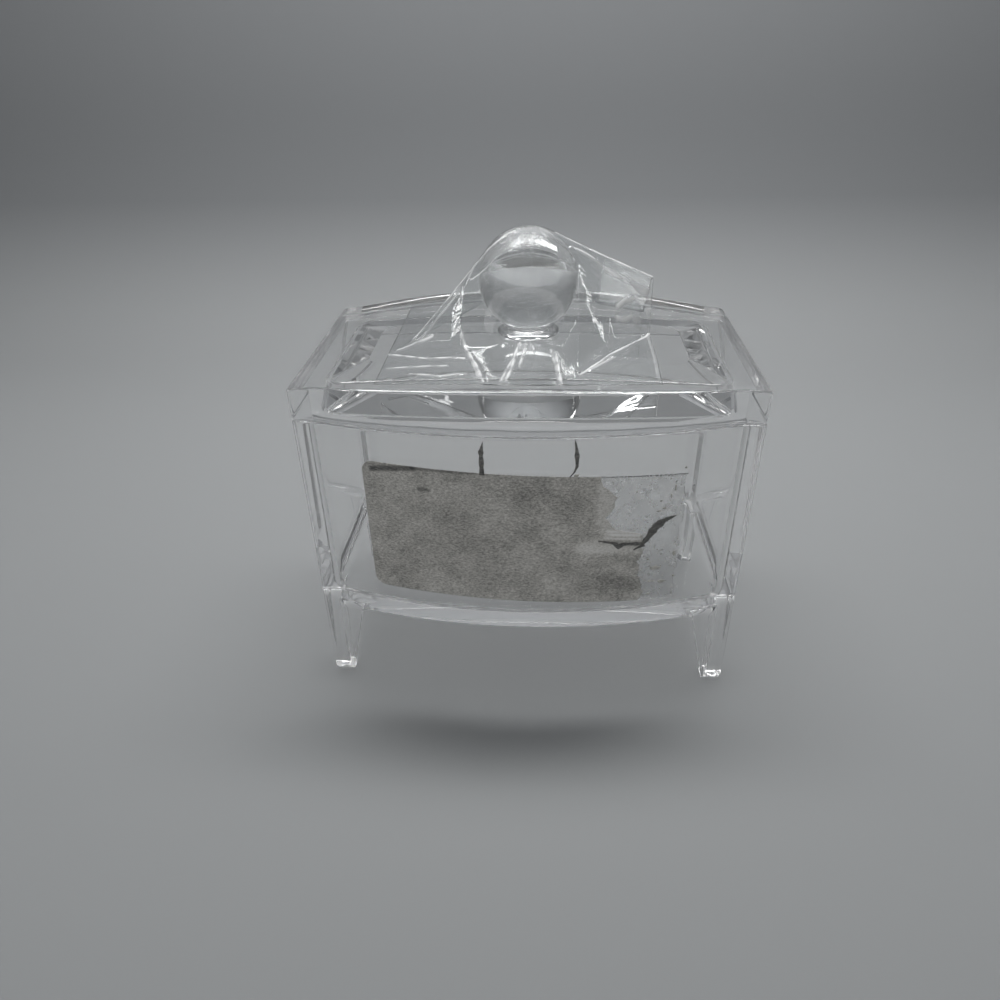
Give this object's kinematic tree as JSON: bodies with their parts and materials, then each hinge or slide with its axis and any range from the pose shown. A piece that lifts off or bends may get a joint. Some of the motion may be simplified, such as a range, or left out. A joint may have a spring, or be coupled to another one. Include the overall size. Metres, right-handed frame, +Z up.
{
  "type": "cotton swab holder",
  "caption": "Clear moulded box on tapered corner legs with bowed front and rear walls, and a thick lift-off lid with a ball knob, for cotton swabs on a vanity.",
  "frame": {"origin": "on the table, under the middle of the box", "axes": "+X along the width to the right, +Y from the front with the label to the rear, +Z up through the knob"},
  "size_m": [0.114, 0.0779, 0.1212],
  "materials": {
    "clear_plastic": "clear, polished",
    "label_paper": "torn, fibrous",
    "film": "clear, creased"
  },
  "bodies": {
    "holder_box": {"box": "clear_plastic", "paper_label": "label_paper"},
    "holder_lid": {"lid": "clear_plastic", "knob": "clear_plastic", "packing_film": "film"}
  },
  "joints": [
    {"name": "lid_lift", "type": "slide", "parent": "holder_box", "child": "holder_lid", "axis": [0, 0, 1], "range_m": [0, 0.06]}
  ]
}
